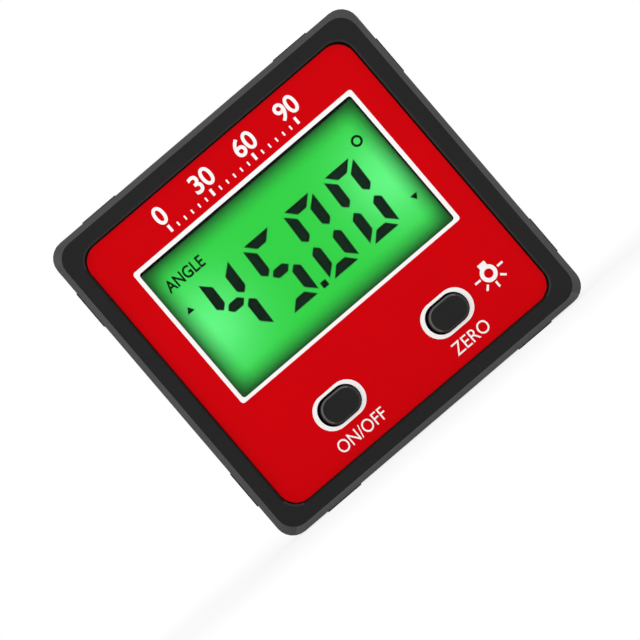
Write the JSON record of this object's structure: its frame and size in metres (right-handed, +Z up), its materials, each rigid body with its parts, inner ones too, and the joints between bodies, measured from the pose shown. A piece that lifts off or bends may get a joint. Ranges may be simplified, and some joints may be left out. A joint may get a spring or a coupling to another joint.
{
  "type": "inclinometer",
  "caption": "Square digital angle box with a red faceplate, green lit display, push keys, magnets in its sides and a battery door at the back.",
  "frame": {"origin": "middle of the base, on the plane of the lower pads", "axes": "+Z up, the display faces -Y, +X to the right of someone who reads the display"},
  "size_m": [0.06, 0.031, 0.0578],
  "materials": {
    "case_black": "fine matt moulded plastic",
    "plate_red": "satin red sheet with white print",
    "key_black": "satin moulded plastic",
    "clear_window": "clear polished",
    "mask_black": "matt",
    "display_green": "satin display glass",
    "guide_green": "frosted",
    "lamp_green": "clear",
    "strip_rubber": "matt",
    "board_green": "solder resist",
    "chip_black": "moulded",
    "steel": "zinc plated",
    "spring_steel": "drawn wire",
    "contact_nickel": "nickel plated",
    "cell_sleeve": "plain printed sleeve",
    "magnet_nickel": "nickel plated",
    "capacitor_silver": "bare can"
  },
  "bodies": {
    "case": {"front_frame": "case_black", "rear_housing": "case_black", "faceplate": "plate_red", "window_lens": "clear_window", "lcd_mask": "mask_black", "lcd_glass": "display_green", "light_guide": "guide_green", "backlight_led_left": "lamp_green", "backlight_led_right": "lamp_green", "contact_strip": "strip_rubber", "circuit_board": "board_green", "microcontroller": "chip_black", "tilt_sensor": "chip_black", "power_switch_body": "chip_black", "zero_switch_body": "chip_black", "crystal": "steel", "board_screw_1": "steel", "board_screw_2": "steel", "board_screw_3": "steel", "case_screw_1": "steel", "case_screw_2": "steel", "case_screw_3": "steel", "case_screw_4": "steel", "battery_spring_upper": "spring_steel", "battery_spring_lower": "spring_steel", "contact_plate_negative": "contact_nickel", "contact_plate_positive": "contact_nickel", "contact_bridge": "contact_nickel", "battery_upper": "cell_sleeve", "battery_lower": "cell_sleeve", "magnet_top_left": "magnet_nickel", "magnet_top_right": "magnet_nickel", "magnet_bottom_left": "magnet_nickel", "magnet_bottom_right": "magnet_nickel", "magnet_left_upper": "magnet_nickel", "magnet_left_lower": "magnet_nickel", "magnet_right_upper": "magnet_nickel", "magnet_right_lower": "magnet_nickel", "capacitor_1": "capacitor_silver", "capacitor_2": "capacitor_silver"},
    "power_button": {"power_button": "key_black"},
    "zero_button": {"zero_button": "key_black"},
    "power_plunger": {"power_switch_plunger": "key_black"},
    "zero_plunger": {"zero_switch_plunger": "key_black"},
    "battery_door": {"battery_door": "case_black"},
    "door_latch": {"door_latch": "case_black"}
  },
  "joints": [
    {"name": "power_button_press", "type": "slide", "parent": "case", "child": "power_button", "axis": [0, 1, 0], "range_m": [0, 0.00055], "stiffness_N_per_m": 400},
    {"name": "zero_button_press", "type": "slide", "parent": "case", "child": "zero_button", "axis": [0, 1, 0], "range_m": [0, 0.00055], "stiffness_N_per_m": 400},
    {"name": "power_plunger_press", "type": "slide", "parent": "case", "child": "power_plunger", "axis": [0, 1, 0], "range_m": [0, 0.00025]},
    {"name": "zero_plunger_press", "type": "slide", "parent": "case", "child": "zero_plunger", "axis": [0, 1, 0], "range_m": [0, 0.00025]},
    {"name": "battery_door_swing", "type": "hinge", "parent": "case", "child": "battery_door", "pos_m": [0, 0.0155, 0.01675], "axis": [-1, 0, 0], "range_deg": [0, 90]},
    {"name": "door_latch_flex", "type": "hinge", "parent": "battery_door", "child": "door_latch", "pos_m": [0, 0.0148, 0.0378], "axis": [1, 0, 0], "range_deg": [0, 8], "stiffness_Nm_per_rad": 0.01}
  ],
  "couplings": [
    {"joint": "power_plunger_press", "follows": "power_button_press", "ratio": 0.45},
    {"joint": "zero_plunger_press", "follows": "zero_button_press", "ratio": 0.45}
  ]
}
